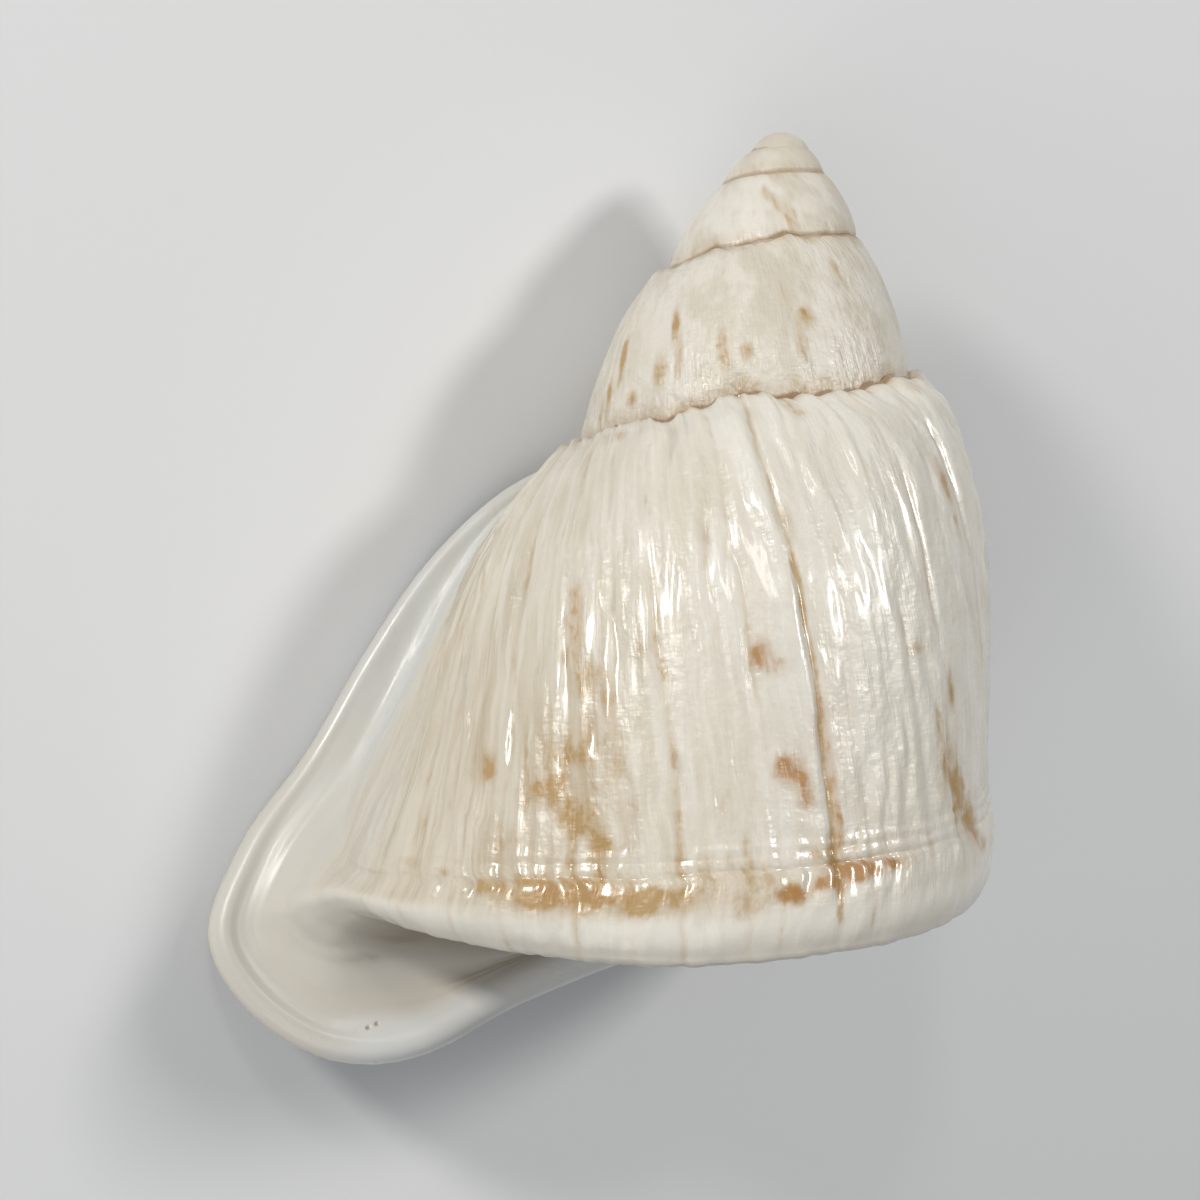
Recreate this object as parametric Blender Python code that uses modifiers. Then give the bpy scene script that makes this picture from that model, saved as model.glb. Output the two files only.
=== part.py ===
"""Land snail shell, lying on its aperture side: one wall of lime, coiled to the right.

The wall is a sheet that grows round an upright axis, from the suture down its side, round the
keel, under the base and in to the central pillar. Its last growth line flares into the lip,
whose edge is rolled back. The finished shell is then laid down on the face of its convex hull
that lies under its centre of mass.

Lengths below are in millimetres, angles in degrees and growth in turns of the coil. Turn 4 is
on the shell's right with the apex up, and growth runs clockwise seen from the apex.
"""

import math

import bmesh
import bpy
import numpy as np
from mathutils import Matrix, Vector

MM = 0.001

# The coil: turn, suture radius, suture depth, keel radius, keel depth, depth of the base's middle.
COIL = (
    (0.5, 0.87, 0.40, 1.80, 1.60, 1.9),
    (1.0, 1.22, 0.69, 2.45, 2.60, 3.0),
    (1.5, 1.69, 1.17, 3.30, 4.20, 4.9),
    (2.0, 2.32, 1.93, 4.45, 6.65, 7.7),
    (2.5, 3.15, 3.14, 5.95, 10.3, 12.0),
    (3.0, 4.25, 5.02, 7.90, 16.2, 18.8),
    (3.5, 5.69, 7.88, 10.1, 24.6, 27.2),
    (4.0, 7.54, 12.13, 12.95, 34.3, 36.4),
    (4.25, 8.66, 14.9, 14.7, 39.3, 40.9),
    (4.5, 9.80, 17.7, 17.8, 42.1, 42.6),
    (4.65, 10.3, 18.0, 20.2, 42.3, 42.6),
)

# The side of a whorl between suture and keel: turn, breadth at the keel's upper edge as a share of
# the way out to the keel, and the two powers that round it.
SIDE = (
    (3.0, 0.90, 2.5, 1.0),
    (4.08, 0.88, 3.0, 0.5),
    (4.35, 0.90, 2.6, 0.6),
    (4.58, 0.96, 2.0, 0.8),
)

# The rim of the lip, from where it leaves the suture to where it meets the pillar: place along the
# growth line from 0 to 1, then x, y and z of its outermost line, the radius of its rolled edge, the
# angle at which that roll starts, where 0 is back and 90 is outwards, and how far the lip leans back
# as it reaches the roll.
RIM = (
    (0.00, -8.9, 3.6, -17.3, 0.40, -25, 25),
    (0.06, -10.3, 3.9, -17.8, 0.45, -18, 18),
    (0.16, -13.7, 3.3, -19.9, 0.50, -12, 12),
    (0.28, -17.6, 2.8, -24.3, 0.60, -9, 11),
    (0.38, -20.4, 2.2, -29.2, 0.70, -9, 11),
    (0.48, -23.1, 1.4, -34.8, 0.80, -11, 14),
    (0.555, -26.0, 0.4, -39.7, 0.95, -16, 20),
    (0.61, -27.2, -0.6, -44.2, 1.00, -22, 26),
    (0.67, -24.9, -1.4, -47.9, 1.00, -24, 28),
    (0.735, -20.1, -1.8, -50.3, 1.00, -26, 29),
    (0.80, -14.8, -1.3, -49.5, 0.95, -34, 36),
    (0.84, -11.2, -0.6, -47.2, 0.95, -50, 48),
    (0.88, -7.4, 0.3, -45.3, 1.05, -72, 64),
    (0.92, -3.6, 1.1, -43.4, 1.20, -90, 77),
    (0.96, -0.4, 1.7, -39.4, 1.35, -100, 85),
    (1.00, 1.1, 0.5, -32.0, 1.20, -100, 85),
)

FIRST_TURN = 0.5
CREASE_TURN = 4.55  # the last growth line, where the lip turns outwards
KEEL_LAG = 31.0  # how far the keel trails the suture along one growth line
ROOT_SHARE = 0.45  # how deep the wall is rooted in the whorl above, as a share of that whorl's wall
KEEL_SWELL = 0.42  # how much of the keel's standing out is reached above its cord
SWELL_FALL = 0.6  # where the side starts to swell, from 0 at the suture to 1 at the keel's edge
CORD_FALL = 0.93  # where the keel's cord starts
KEEL_REACH = 4.0  # how far the keel spreads outwards as it runs into the lip
KEEL_REACH_FROM = 4.36  # the turn where that starts
KEEL_REACH_OVER = 0.24
LEAN_FALL = 0.55  # how far down the whorl its side starts to lean out with the keel
KEEL_THINNING = 0.75  # how much of its depth the cord loses there
WALL_SHARE = 0.055  # wall thickness for each millimetre of keel radius
WALL_LEAST = 0.12
LIP_FACING = (-0.193, 0.961, -0.199)  # which way the aperture looks
FLARE_START = 38.0  # how sharply the lip turns outwards at the crease
FLARE_START_AT_KEEL = 26.0
FLARE_PULL = 0.38  # how long the flare keeps its first and last direction, as a share of its width
FLARE_PULL_AT_KEEL = 0.46
FULL_PULL_RADIUS = 10.0  # nearer to the pillar than this it keeps its first direction for less
LEAST_PULL = 0.15
KEEL_ZONE = (0.36, 0.50, 0.72, 0.84)  # where along a growth line the keel's values fade in and out
LIP_SHARE = 1.15  # thickness of the lip's wall for each millimetre of the rolled edge's radius
LIP_MOST = 1.1
ROLL_END = 175.0  # the angle where the roll meets the inside of the lip

PILLAR_TOP, PILLAR_FOOT = 1.2, 37.6
PILLAR_TOP_RADIUS, PILLAR_FOOT_RADIUS = 0.15, 2.1
APEX_RADIUS, APEX_HEIGHT = 1.6, 1.4

STEPS_PER_TURN = 48
POINTS_ACROSS = 60
FLARE_RINGS = 14
ROLL_RINGS = 8
EASINGS = 20  # rounds of averaging that ease the keel into the lip
EASED_RINGS = 3.0
GRAIN = 0.12  # size of the grains that the layers are melted together from
MOST_FACES = 9500

REST_DIRECTION = (-0.35, 0.90, 0.10)  # roughly down, before the shell is laid down

SHELL_COLOUR = (0.78, 0.74, 0.67, 1.0)
SHELL_ROUGHNESS = 0.28
SHARP_EDGE = 50.0


def through(stations, x):
    """The values at x of a smooth curve through the stations, whose first column is the place."""
    table = np.array(stations, float)
    places, values = table[:, 0], table[:, 1:]
    x = np.clip(np.asarray(x, float), places[0], places[-1])
    gap = np.diff(places)[:, None]
    slope = np.diff(values, axis=0) / gap
    middle = (slope[:-1] * gap[1:] + slope[1:] * gap[:-1]) / (gap[:-1] + gap[1:])
    tangent = np.vstack([slope[:1], middle, slope[-1:]])
    left = np.clip(np.searchsorted(places, x, side="right") - 1, 0, len(places) - 2)
    width = gap[left]
    s = ((x - places[left])[..., None]) / width
    start, end = values[left], values[left + 1]
    leaving, arriving = tangent[left] * width, tangent[left + 1] * width
    return (
        (2 * s**3 - 3 * s**2 + 1) * start
        + (s**3 - 2 * s**2 + s) * leaving
        + (3 * s**2 - 2 * s**3) * end
        + (s**3 - s**2) * arriving
    )


def ramp(x, low, high):
    """A smooth step from 0 at low to 1 at high."""
    t = np.clip((x - low) / (high - low), 0, 1)
    return t * t * (3 - 2 * t)


def wall_thickness(turn):
    keel_radius = through(COIL, turn)[2]
    return WALL_SHARE * keel_radius + WALL_LEAST


def section(turn):
    """Radius, depth and lag of the growth line at this turn, from inside the suture to the pillar."""
    suture_radius, suture_depth, keel_radius, keel_depth, base_depth = through(COIL, turn)
    breadth, inner_power, outer_power = through(SIDE, turn)
    out, down = keel_radius - suture_radius, keel_depth - suture_depth
    near_lip = min(max((turn - KEEL_REACH_FROM) / KEEL_REACH_OVER, 0), 1)
    reach = KEEL_REACH * near_lip**2
    thinned = 1 - KEEL_THINNING * near_lip**1.3
    root = ROOT_SHARE * wall_thickness(turn - 1)
    line = [(suture_radius - root, suture_depth + 0.2 * root, 0.0)]

    for fall in (0.0, 0.03, 0.08, 0.15, 0.24, 0.35, 0.47, 0.60, 0.72, 0.83, 0.90):
        share = breadth * (1 - (1 - fall) ** inner_power) ** outer_power
        share += (1 - breadth) * KEEL_SWELL * max(0, (fall - SWELL_FALL) / (0.9 - SWELL_FALL)) ** 2
        radius = suture_radius + share * out + reach * leaning(fall)
        line.append((radius, suture_depth + fall * down, KEEL_LAG * math.sqrt(fall)))

    # the keel is a round cord that swells out of the side and turns under to the base
    for swell, fall in ((0.52, 0.925), (0.74, 0.948), (0.92, 0.972), (1.0, 1.0)):
        share = breadth + (1 - breadth) * swell
        radius = suture_radius + share * out + reach * leaning(fall)
        depth = suture_depth + cord_fall(fall, thinned) * down
        line.append((radius, depth, KEEL_LAG))
    for inset, more, fall in ((0.010, 0.03, 1.035), (0.055, 0.06, 1.068), (0.14, 0.10, 1.09)):
        radius = suture_radius + (1 - inset - more * near_lip) * out + reach
        depth = suture_depth + cord_fall(fall, thinned) * down
        line.append((radius, depth, KEEL_LAG))

    # the base runs in nearly level, then turns up into the narrow umbilicus
    edge_radius, edge_depth, _ = line[-1]
    for share, sag, rise, lag in (
        (0.80, 0.30, 0.0, 28),
        (0.60, 0.65, 0.0, 24),
        (0.42, 0.90, 0.0, 19),
        (0.28, 1.00, 0.005, 14),
        (0.17, 1.00, 0.03, 9),
        (0.10, 1.00, 0.10, 5),
        (0.065, 1.00, 0.22, 2),
    ):
        depth = edge_depth + (base_depth - edge_depth) * sag - rise * down
        line.append((edge_radius * share, depth, lag))
    return np.array(line)


def leaning(fall):
    """How much of the keel's outward spread the side follows at this fall."""
    return max(0, (fall - LEAN_FALL) / (1 - LEAN_FALL)) ** 1.5


def cord_fall(fall, thinned):
    """The fall of a place on the keel's cord once the cord is thinned."""
    return min(fall, CORD_FALL + (fall - CORD_FALL) * thinned)


def growth_line(turn, count):
    """Points of one growth line on the outside of the wall."""
    line = section(turn)
    table = np.column_stack([np.arange(len(line)), line])
    radius, depth, lag = through(table, np.linspace(0, len(line) - 1, count)).T
    angle = np.radians(lag - 360 * (turn - 4))
    return np.column_stack([radius * np.cos(angle), radius * np.sin(angle), -depth])


def unit(vectors):
    return vectors / np.linalg.norm(vectors, axis=-1, keepdims=True)


def near_keel(count):
    """How near each place on a growth line is to the keel, from 0 to 1."""
    places = np.linspace(0, 1, count)
    start, full, last, end = KEEL_ZONE
    return (ramp(places, start, full) * (1 - ramp(places, last, end)))[:, None]


def lip_frame(count):
    """What the lip is built on: the crease, its directions, and the rim with its rolled edge."""
    crease = growth_line(CREASE_TURN, count)
    growing = unit(crease - growth_line(CREASE_TURN - 0.01, count))
    outward = unit(np.cross(unit(np.gradient(crease, axis=0)), growing))
    if np.median(np.sum(outward * (crease - crease.mean(axis=0)), axis=1)) < 0:
        outward = -outward
    rim = through(RIM, np.linspace(0, 1, count))
    edge, roll, (start, lean) = rim[:, :3], rim[:, 3:4], np.radians(rim[:, 4:]).T[..., None]
    facing = unit(np.array(LIP_FACING))
    spread = unit(np.cross(unit(np.gradient(edge, axis=0)), facing))
    if np.median(np.sum(spread * (edge - edge.mean(axis=0)), axis=1)) < 0:
        spread = -spread
    centre = edge - roll * spread
    return crease, growing, outward, spread, -facing, centre, roll, start, lean


def flare(count, rings):
    """Growth lines of the lip, from just past the crease to the foot of the rolled edge."""
    crease, growing, outward, spread, back, centre, roll, roll_start, lean = lip_frame(count)
    foot = centre + roll * around_roll(roll_start, spread, back)
    on_keel = near_keel(count)
    pull = FLARE_PULL + (FLARE_PULL_AT_KEEL - FLARE_PULL) * on_keel
    reach = pull * np.linalg.norm(foot - crease, axis=1, keepdims=True)
    turned = np.radians(FLARE_START + (FLARE_START_AT_KEEL - FLARE_START) * on_keel)
    radius = np.linalg.norm(crease[:, :2], axis=1, keepdims=True)
    onward = reach * np.clip(radius / FULL_PULL_RADIUS, LEAST_PULL, 1)
    leave = crease + onward * (np.cos(turned) * growing + np.sin(turned) * outward)
    arrive = foot - reach * unit(np.cos(lean) * spread + np.sin(lean) * back)
    lines = []
    for s in np.arange(1, rings + 1) / rings:
        near, far = 1 - s, s
        lines.append(
            near**3 * crease + 3 * far * near**2 * leave + 3 * far**2 * near * arrive + far**3 * foot
        )
    return lines


def around_roll(angle, spread, back):
    """Direction from the middle of the rolled edge: 0 is back, a quarter turn is outwards."""
    return np.cos(angle) * back + np.sin(angle) * spread


def eased(lines, crease):
    """The lines with the bend between whorl and lip eased where the keel runs into the lip."""
    lines = np.array(lines)
    rings_off = np.arange(len(lines)) - crease
    share = np.exp(-((rings_off / EASED_RINGS) ** 2))[:, None, None] * near_keel(lines.shape[1])
    for _ in range(EASINGS):
        middle = (lines[:-2] + lines[2:]) / 2
        lines[1:-1] += 0.5 * share[1:-1] * (middle - lines[1:-1])
    return lines


def outward_normals(lines):
    """Normals of the sheet, pointing away from its hollow."""
    return unit(np.cross(np.gradient(lines, axis=0), np.gradient(lines, axis=1)))


def wall_rings():
    """Closed rings round the wall: outside from suture to pillar, then inside back again."""
    steps = round((CREASE_TURN - FIRST_TURN) * STEPS_PER_TURN)
    turns = np.linspace(FIRST_TURN, CREASE_TURN, steps + 1)
    outside = [growth_line(turn, POINTS_ACROSS) for turn in turns]
    outside = eased(outside + flare(POINTS_ACROSS, FLARE_RINGS), steps)
    _, _, _, spread, back, centre, roll, roll_start, _ = lip_frame(POINTS_ACROSS)
    thickness = [wall_thickness(turn) for turn in turns]
    last = thickness[-1]
    full = np.minimum(LIP_SHARE * roll, LIP_MOST)
    thickness += [last + (full - last) * k / FLARE_RINGS for k in range(1, FLARE_RINGS + 1)]
    normals = outward_normals(outside)
    rings = []
    for line, normal, wall in zip(outside, normals, thickness):
        inside = line - normal * wall
        rings.append(np.vstack([line, inside[::-1]]))

    end = math.radians(ROLL_END)
    for step in range(1, ROLL_RINGS + 1):
        share = step / (2 * ROLL_RINGS + 1)
        over = roll_start + (end - roll_start) * share
        under = end + (roll_start - end) * share
        outer = centre + roll * around_roll(over, spread, back)
        inner = centre + roll * around_roll(under, spread, back)
        rings.append(np.vstack([outer, inner[::-1]]))
    return rings


def add_skin(form, rings):
    """A closed skin over the rings, zipped shut across the first and the last one."""
    rows = [[form.verts.new(Vector(point) * MM) for point in ring] for ring in rings]
    size = len(rows[0])
    faces = []
    for row, following in zip(rows, rows[1:]):
        for i in range(size):
            j = (i + 1) % size
            faces.append(form.faces.new((row[i], row[j], following[j], following[i])))
    for row in (rows[0], rows[-1]):
        for i in range(size // 2 - 1):
            faces.append(form.faces.new((row[i], row[i + 1], row[size - 2 - i], row[size - 1 - i])))
    bmesh.ops.recalc_face_normals(form, faces=faces)


def add_apex(form):
    size = Matrix.Diagonal((APEX_RADIUS * MM, APEX_RADIUS * MM, APEX_HEIGHT * MM, 1.0))
    place = Matrix.Translation((0, 0, -APEX_HEIGHT * MM)) @ size
    bmesh.ops.create_uvsphere(form, u_segments=32, v_segments=20, radius=1.0, matrix=place)


def add_pillar(form):
    bmesh.ops.create_cone(
        form,
        cap_ends=True,
        segments=32,
        radius1=PILLAR_FOOT_RADIUS * MM,
        radius2=PILLAR_TOP_RADIUS * MM,
        depth=(PILLAR_FOOT - PILLAR_TOP) * MM,
        matrix=Matrix.Translation((0, 0, -(PILLAR_FOOT + PILLAR_TOP) / 2 * MM)),
    )


def evaluated(target):
    """The target's mesh with its modifiers applied."""
    bpy.context.view_layer.update()
    graph = bpy.context.evaluated_depsgraph_get()
    return bpy.data.meshes.new_from_object(target.evaluated_get(graph))


def fuse(target):
    """Melts the overlapping layers of wall into one body and thins out its faces."""
    melt = target.modifiers.new("melt", "REMESH")
    melt.mode = "VOXEL"
    melt.voxel_size = GRAIN * MM
    fine = evaluated(target)
    thin = target.modifiers.new("thin", "DECIMATE")
    thin.ratio = MOST_FACES / (2 * len(fine.polygons))
    finished = evaluated(target)
    target.modifiers.clear()
    target.data = finished
    bpy.data.meshes.remove(fine)


def resting_turn(mesh):
    """The rotation that lays the shell on its hull, on the side nearest to REST_DIRECTION.

    The apex is then turned to point along +Y.
    """
    hull = bmesh.new()
    hull.from_mesh(mesh)
    bmesh.ops.triangulate(hull, faces=hull.faces)
    centre, volume = Vector(), 0.0
    for face in hull.faces:
        a, b, c = (vert.co for vert in face.verts)
        part = a.dot(b.cross(c)) / 6
        centre += part * (a + b + c) / 4
        volume += part
    centre /= volume
    bmesh.ops.delete(hull, geom=hull.faces, context="FACES_ONLY")
    bmesh.ops.convex_hull(hull, input=hull.verts)
    wanted = Vector(REST_DIRECTION).normalized()
    best, down = -1.0, wanted
    for face in hull.faces:
        normal = face.normal
        if normal.dot(face.calc_center_median() - centre) < 0:
            normal = -normal
        foot = centre + normal * normal.dot(face.verts[0].co - centre)
        corners = [vert.co for vert in face.verts]
        sides = [
            normal.dot((b - a).cross(foot - a)) for a, b in zip(corners, corners[1:] + corners[:1])
        ]
        under = all(side >= 0 for side in sides) or all(side <= 0 for side in sides)
        if under and normal.dot(wanted) > best:
            best, down = normal.dot(wanted), normal.copy()
    hull.free()
    turn = down.rotation_difference(Vector((0, 0, -1))).to_matrix().to_4x4()
    apex = turn @ Vector((0, 0, 1))
    return Matrix.Rotation(math.atan2(apex.x, apex.y), 4, "Z") @ turn


def lay_down(mesh):
    """Lays the shell on its resting side, centred over the origin and standing on z = 0."""
    mesh.transform(resting_turn(mesh))
    corners = np.array([vert.co for vert in mesh.vertices])
    low, high = corners.min(axis=0), corners.max(axis=0)
    mesh.transform(Matrix.Translation((-(low[0] + high[0]) / 2, -(low[1] + high[1]) / 2, -low[2])))


def finish(target):
    """Smooth shading and the colour of the shell."""
    target.data.shade_smooth()
    target.data.set_sharp_from_angle(angle=math.radians(SHARP_EDGE))
    lime = bpy.data.materials.new("shell_lime")
    lime.use_nodes = True
    surface = lime.node_tree.nodes["Principled BSDF"]
    surface.inputs["Base Color"].default_value = SHELL_COLOUR
    surface.inputs["Roughness"].default_value = SHELL_ROUGHNESS
    target.data.materials.append(lime)


def main():
    for item in list(bpy.data.objects):
        bpy.data.objects.remove(item)
    parts = bpy.data.collections.new("land_snail_shell")
    bpy.context.scene.collection.children.link(parts)

    form = bmesh.new()
    add_skin(form, wall_rings())
    add_apex(form)
    add_pillar(form)
    mesh = bpy.data.meshes.new("shell")
    form.to_mesh(mesh)
    form.free()
    shell = bpy.data.objects.new("shell", mesh)
    parts.objects.link(shell)
    fuse(shell)
    lay_down(shell.data)
    finish(shell)


main()
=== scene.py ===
import math

import bmesh
import bpy
import numpy as np
from mathutils import Matrix, Vector


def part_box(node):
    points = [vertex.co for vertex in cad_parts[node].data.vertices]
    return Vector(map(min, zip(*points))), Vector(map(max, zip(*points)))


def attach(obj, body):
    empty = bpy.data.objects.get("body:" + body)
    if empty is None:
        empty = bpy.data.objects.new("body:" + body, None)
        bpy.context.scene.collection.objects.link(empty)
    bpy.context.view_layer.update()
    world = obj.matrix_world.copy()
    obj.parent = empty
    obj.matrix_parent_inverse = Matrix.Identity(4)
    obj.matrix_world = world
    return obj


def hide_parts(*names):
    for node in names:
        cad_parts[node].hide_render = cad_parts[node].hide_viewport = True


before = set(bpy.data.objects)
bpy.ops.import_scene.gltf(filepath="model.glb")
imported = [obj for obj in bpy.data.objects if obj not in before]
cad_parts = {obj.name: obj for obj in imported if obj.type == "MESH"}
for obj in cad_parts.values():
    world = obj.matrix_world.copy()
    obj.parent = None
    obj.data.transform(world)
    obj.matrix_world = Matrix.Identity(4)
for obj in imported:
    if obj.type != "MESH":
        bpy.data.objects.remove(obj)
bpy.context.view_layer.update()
mm = 0.001

# The shell is drawn with its coil's axis upright and its apex at the origin, in millimetres, and is
# laid down at the end. Growth is counted in turns: turn 4 is on its right, and it grows clockwise
# seen from the apex. A growth line runs from the suture over the keel and in to the pillar. How far
# down the whorl a place is, its fall, is 0 at the suture and 1 at the keel's edge.

coil = {
    # turn, suture radius, suture depth, keel radius, keel depth, depth of the base's middle
    "stations": (
        (0.5, 0.87, 0.40, 1.80, 1.60, 1.9),
        (1.0, 1.22, 0.69, 2.45, 2.60, 3.0),
        (1.5, 1.69, 1.17, 3.30, 4.20, 4.9),
        (2.0, 2.32, 1.93, 4.45, 6.65, 7.7),
        (2.5, 3.15, 3.14, 5.95, 10.3, 12.0),
        (3.0, 4.25, 5.02, 7.90, 16.2, 18.8),
        (3.5, 5.69, 7.88, 10.1, 24.6, 27.2),
        (4.0, 7.54, 12.13, 12.95, 34.3, 36.4),
        (4.25, 8.66, 14.9, 14.7, 39.3, 40.9),
        (4.5, 9.80, 17.7, 17.8, 42.1, 42.6),
        (4.65, 10.3, 18.0, 20.2, 42.3, 42.6),
    ),
    # turn, breadth at the keel's upper edge as a share of the way out, and the two rounding powers
    "side": (
        (3.0, 0.90, 2.5, 1.0),
        (4.08, 0.88, 3.0, 0.5),
        (4.35, 0.90, 2.6, 0.6),
        (4.58, 0.96, 2.0, 0.8),
    ),
    "firstTurn": 0.5,
    "creaseTurn": 4.55,  # the last growth line, where the lip turns outwards
    "keelLag": 31.0,  # degrees that the keel trails the suture along one growth line
    "rootShare": 0.45,  # how deep the wall is rooted in the whorl above, as a share of that one's wall
    "keelSwell": 0.42,  # how much of the keel's standing out is reached above its band
    "swellFall": 0.6,  # where on the side that starts
    "bandFall": 0.93,  # where the keel's band starts
    "leanFall": 0.55,  # where the side starts to lean out with the keel
    "keelReach": 4.0,  # how far the keel spreads outwards as it runs into the lip
    "keelReachFrom": 4.36,
    "keelReachOver": 0.24,
    "keelThinning": 0.75,  # how much of its depth the keel loses there
    "wallShare": 0.055,
    "wallLeast": 0.12,
}

lip = {
    # place along the growth line, x, y and z of the rim's outermost line, its radius, how far round
    # from the back the rolled edge begins, and how far the lip leans back as it reaches that edge
    "rim": (
        (0.00, -8.9, 3.6, -17.3, 0.40, -25, 25),
        (0.06, -10.3, 3.9, -17.8, 0.45, -18, 18),
        (0.16, -13.7, 3.3, -19.9, 0.50, -12, 12),
        (0.28, -17.6, 2.8, -24.3, 0.60, -9, 11),
        (0.38, -20.4, 2.2, -29.2, 0.70, -9, 11),
        (0.48, -23.1, 1.4, -34.8, 0.80, -11, 14),
        (0.555, -26.0, 0.4, -39.7, 0.95, -16, 20),
        (0.61, -27.2, -0.6, -44.2, 1.00, -22, 26),
        (0.67, -24.9, -1.4, -47.9, 1.00, -24, 28),
        (0.735, -20.1, -1.8, -50.3, 1.00, -26, 29),
        (0.80, -14.8, -1.3, -49.5, 0.95, -34, 36),
        (0.84, -11.2, -0.6, -47.2, 0.95, -50, 48),
        (0.88, -7.4, 0.3, -45.3, 1.05, -72, 64),
        (0.92, -3.6, 1.1, -43.4, 1.20, -90, 77),
        (0.96, -0.4, 1.7, -39.4, 1.35, -100, 85),
        (1.00, 1.1, 0.5, -32.0, 1.20, -100, 85),
    ),
    "facing": (-0.193, 0.961, -0.199),  # which way the aperture looks
    "keelZone": (0.36, 0.50, 0.72, 0.84),  # where the keel's values fade in and out along the growth line
    "flareStart": 38.0,  # how sharply the lip turns outwards, in degrees
    "flareStartAtKeel": 26.0,
    "pull": 0.38,  # how long the flare keeps its first and last direction, as a share of its width
    "pullAtKeel": 0.46,
    "fullPullRadius": 10.0,  # nearer to the pillar than this it keeps its first direction for less
    "leastPull": 0.15,
    "rollEnd": 175,  # degrees from the back where the rolled edge meets the inside
    "wallShare": 1.15,  # the lip's wall for each millimetre of the rolled edge's radius
    "thickest": 1.1,
}

core = {
    "apexRadius": 1.6,
    "apexHeight": 1.4,
    # depths of the pillar's ends
    "top": 1.2,
    "foot": 37.6,
    "topRadius": 0.15,
    "footRadius": 2.1,
    "sidesAround": 48,
    "domeRings": 32,
}

rest = {
    "down": (-0.43835, 0.89316, 0.10055),  # what points down once the shell is laid on its aperture side
    "gap": 0.01,  # how far the mesh stays inside the solid's box, in millimetres
}

mesh = {
    # turn, growth lines per turn
    "lines": ((0.5, 56), (3.1, 76), (3.42, 260), (3.6, 420), (4.0, 420), (4.12, 640), (4.55, 700)),
    # share of the points, place along the growth line
    "acrossShare": (
        (0, 0), (0.03, 0.03), (0.13, 0.08), (0.19, 0.13),
        (0.46, 0.41), (0.60, 0.465), (0.84, 0.74), (1, 1),
    ),
    "acrossPoints": 104,
    "flareLines": 34,
    "rollLines": 16,
    "insideLines": 60,
    "insideStride": 3,  # the inside has one of every so many lines of the flare
    "insideFade": 8,  # lines over which the lip's finish turns into the inside's
    # where the inside starts on the growth map after the flare, and its step for each line
    "insideStart": 6,
    "insideStep": 0.8,
    "softenings": 200,  # rounds of averaging that ease the keel into the lip
    "softenedLines": 40,
    "far": 9.0,  # millimetres that stand for far from any suture
}


def throughStations(stations, x):
    # values at x of a smooth curve through the stations, whose first column is the place
    rows = np.array(stations, float)
    places, values = rows[:, 0], rows[:, 1:]
    x = np.clip(np.asarray(x, float), places[0], places[-1])
    gap = np.diff(places)[:, None]
    slope = np.diff(values, axis=0) / gap
    middle = (slope[:-1] * gap[1:] + slope[1:] * gap[:-1]) / (gap[:-1] + gap[1:])
    tangent = np.vstack([slope[:1], middle, slope[-1:]])
    left = np.clip(np.searchsorted(places, x, side="right") - 1, 0, len(places) - 2)
    width = gap[left]
    s = ((x - places[left])[..., None]) / width
    start, end = values[left], values[left + 1]
    leaving, arriving = tangent[left] * width, tangent[left + 1] * width
    return (
        (2 * s**3 - 3 * s**2 + 1) * start
        + (s**3 - 2 * s**2 + s) * leaving
        + (3 * s**2 - 2 * s**3) * end
        + (s**3 - s**2) * arriving
    )


def unit(vectors):
    return vectors / np.maximum(np.linalg.norm(vectors, axis=-1, keepdims=True), 1e-12)


def ramp(x, low, high):
    t = np.clip((x - low) / (high - low), 0, 1)
    return t * t * (3 - 2 * t)


def bell(x, width):
    return np.exp(-((x / width) ** 2))


def grainNoise(x, y, seed):
    # smooth noise from about -1 to 1 on two coordinates
    pool = np.random.default_rng(seed)
    angles = pool.uniform(0, 2 * np.pi, (256, 256))
    x, y = np.broadcast_arrays(x, y)
    column, row = np.floor(x).astype(int), np.floor(y).astype(int)
    fx, fy = x - column, y - row
    total = 0
    sx, sy = fx**3 * (fx * (fx * 6 - 15) + 10), fy**3 * (fy * (fy * 6 - 15) + 10)
    for i in (0, 1):
        for j in (0, 1):
            angle = angles[(column + i) % 256, (row + j) % 256]
            slope = np.cos(angle) * (fx - i) + np.sin(angle) * (fy - j)
            total = total + slope * (sx if i else 1 - sx) * (sy if j else 1 - sy)
    return total * 1.5


def acrossPlaces():
    # where the points lie across a growth line, closer together where it bends and shows
    share = np.array(mesh["acrossShare"])
    return np.interp(np.linspace(0, 1, mesh["acrossPoints"]), share[:, 0], share[:, 1])


def lineTurns():
    # the turns of the growth lines, closer together on the last whorl
    spacing = np.array(mesh["lines"])
    fine = np.linspace(spacing[0, 0], spacing[-1, 0], 4000)
    rate = np.interp(fine, spacing[:, 0], spacing[:, 1])
    count = np.concatenate([[0], np.cumsum((rate[1:] + rate[:-1]) / 2 * np.diff(fine))])
    return np.interp(np.linspace(0, count[-1], round(count[-1]) + 1), count, fine)


def wallThickness(turn):
    return coil["wallShare"] * throughStations(coil["stations"], turn)[2] + coil["wallLeast"]


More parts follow.
